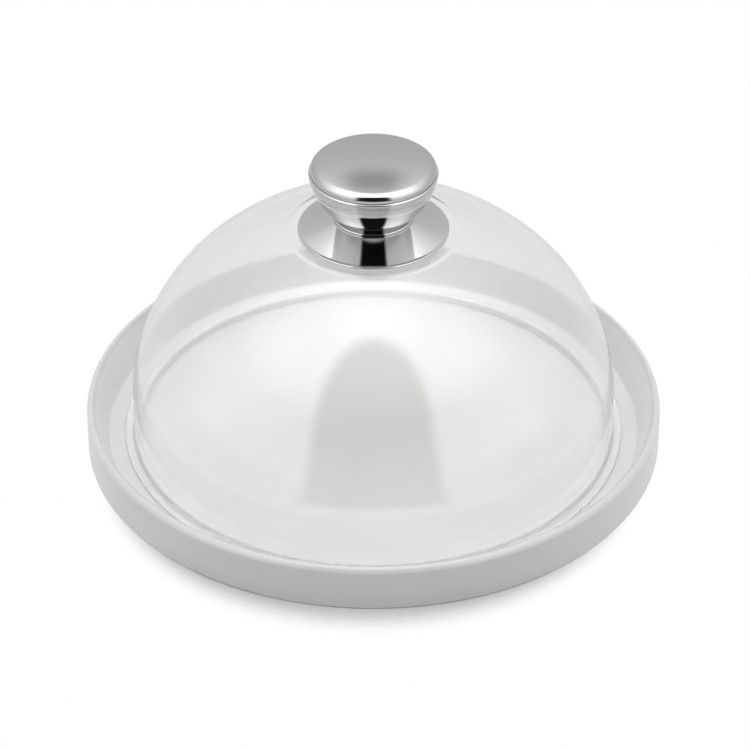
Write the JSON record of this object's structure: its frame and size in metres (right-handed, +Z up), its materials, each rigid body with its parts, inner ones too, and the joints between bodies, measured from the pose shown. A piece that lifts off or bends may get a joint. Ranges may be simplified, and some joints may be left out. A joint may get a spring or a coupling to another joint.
{
  "type": "plate with cloche",
  "caption": "Round shallow serving plate with an upright rim and a clear domed cloche that rests in it and lifts off by a chrome knob.",
  "frame": {"origin": "on the table under the middle of the plate", "axes": "+Z up along the axis that the plate, the dome and the knob share; X and Y lie on the table and are alike"},
  "size_m": [0.2108, 0.2108, 0.1187],
  "materials": {
    "white_melamine": "glossy",
    "clear_plastic": "clear, polished",
    "chrome_plating": "mirror",
    "silicone": "translucent, soft",
    "brass": "machined",
    "stainless_steel": "satin",
    "nylon": "matte"
  },
  "bodies": {
    "plate": {"plate": "white_melamine"},
    "cloche": {"dome": "clear_plastic", "knob_gasket": "silicone", "knob_foot": "chrome_plating", "knob_cup": "chrome_plating", "knob_cap": "chrome_plating", "threaded_insert": "brass", "fixing_screw": "stainless_steel", "inner_washer": "nylon"}
  },
  "joints": [
    {"name": "cloche_lift", "type": "slide", "parent": "plate", "child": "cloche", "axis": [0, 0, 1], "range_m": [0, 0.15]}
  ]
}
